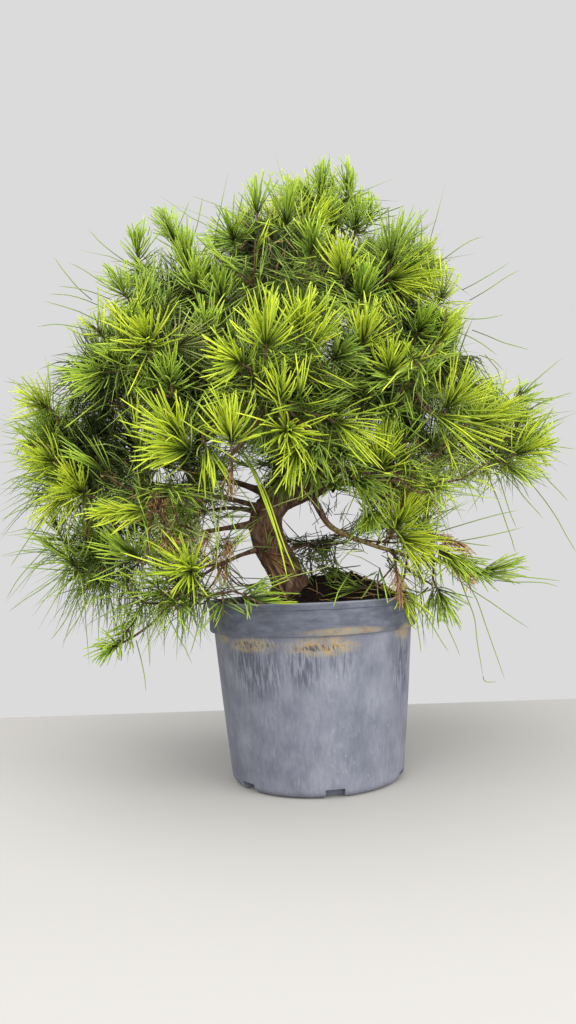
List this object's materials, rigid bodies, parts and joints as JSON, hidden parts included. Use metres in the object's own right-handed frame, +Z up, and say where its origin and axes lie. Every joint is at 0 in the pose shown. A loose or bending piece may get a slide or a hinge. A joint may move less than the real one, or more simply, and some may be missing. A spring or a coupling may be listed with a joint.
{
  "type": "potted aleppo pine",
  "caption": "Young Aleppo pine with an S-shaped trunk and a broad rounded crown of needles, grown in a faded plastic nursery pot.",
  "frame": {"origin": "middle of the flat underside of the pot, on the surface that it stands on", "axes": "+Z up along the pot's axis; -Y is the front of the plant, as in the picture, with +X to its right"},
  "size_m": [0.5313, 0.4396, 0.5913],
  "materials": {
    "pot_plastic": "satin",
    "soil": "matte",
    "bark": "matte",
    "needles": "satin"
  },
  "bodies": {
    "root": {"pot": "pot_plastic", "soil": "soil", "trunk": "bark", "bough_back_low_left": "bark", "bough_back_low_right": "bark", "bough_back_middle": "bark", "bough_back_upper_left": "bark", "bough_back_upper_right": "bark", "bough_crown_back": "bark", "bough_crown_left": "bark", "bough_foot_back": "bark", "bough_foot_left": "bark", "bough_front_left": "bark", "bough_front_low_left": "bark", "bough_front_low_right": "bark", "bough_front_middle": "bark", "bough_front_right": "bark", "bough_front_upper": "bark", "bough_left_far": "bark", "bough_left_low": "bark", "bough_left_upper": "bark", "bough_right_far": "bark", "bough_right_low": "bark", "bough_right_upper": "bark", "bough_shoulder_left": "bark", "bough_shoulder_right": "bark", "crown_tip": "needles", "crown_left": "needles", "crown_back": "needles", "shoulder_right": "needles", "shoulder_left": "needles", "front_upper": "needles", "left_upper": "needles", "right_upper": "needles", "back_upper_left": "needles", "back_upper_right": "needles", "front_left": "needles", "front_middle": "needles", "front_right": "needles", "back_middle": "needles", "left_far": "needles", "right_far": "needles", "front_low_left": "needles", "front_low_right": "needles", "left_low": "needles", "foot_left": "needles", "right_low": "needles", "back_low_right": "needles", "back_low_left": "needles", "foot_back": "needles"}
  },
  "joints": []
}
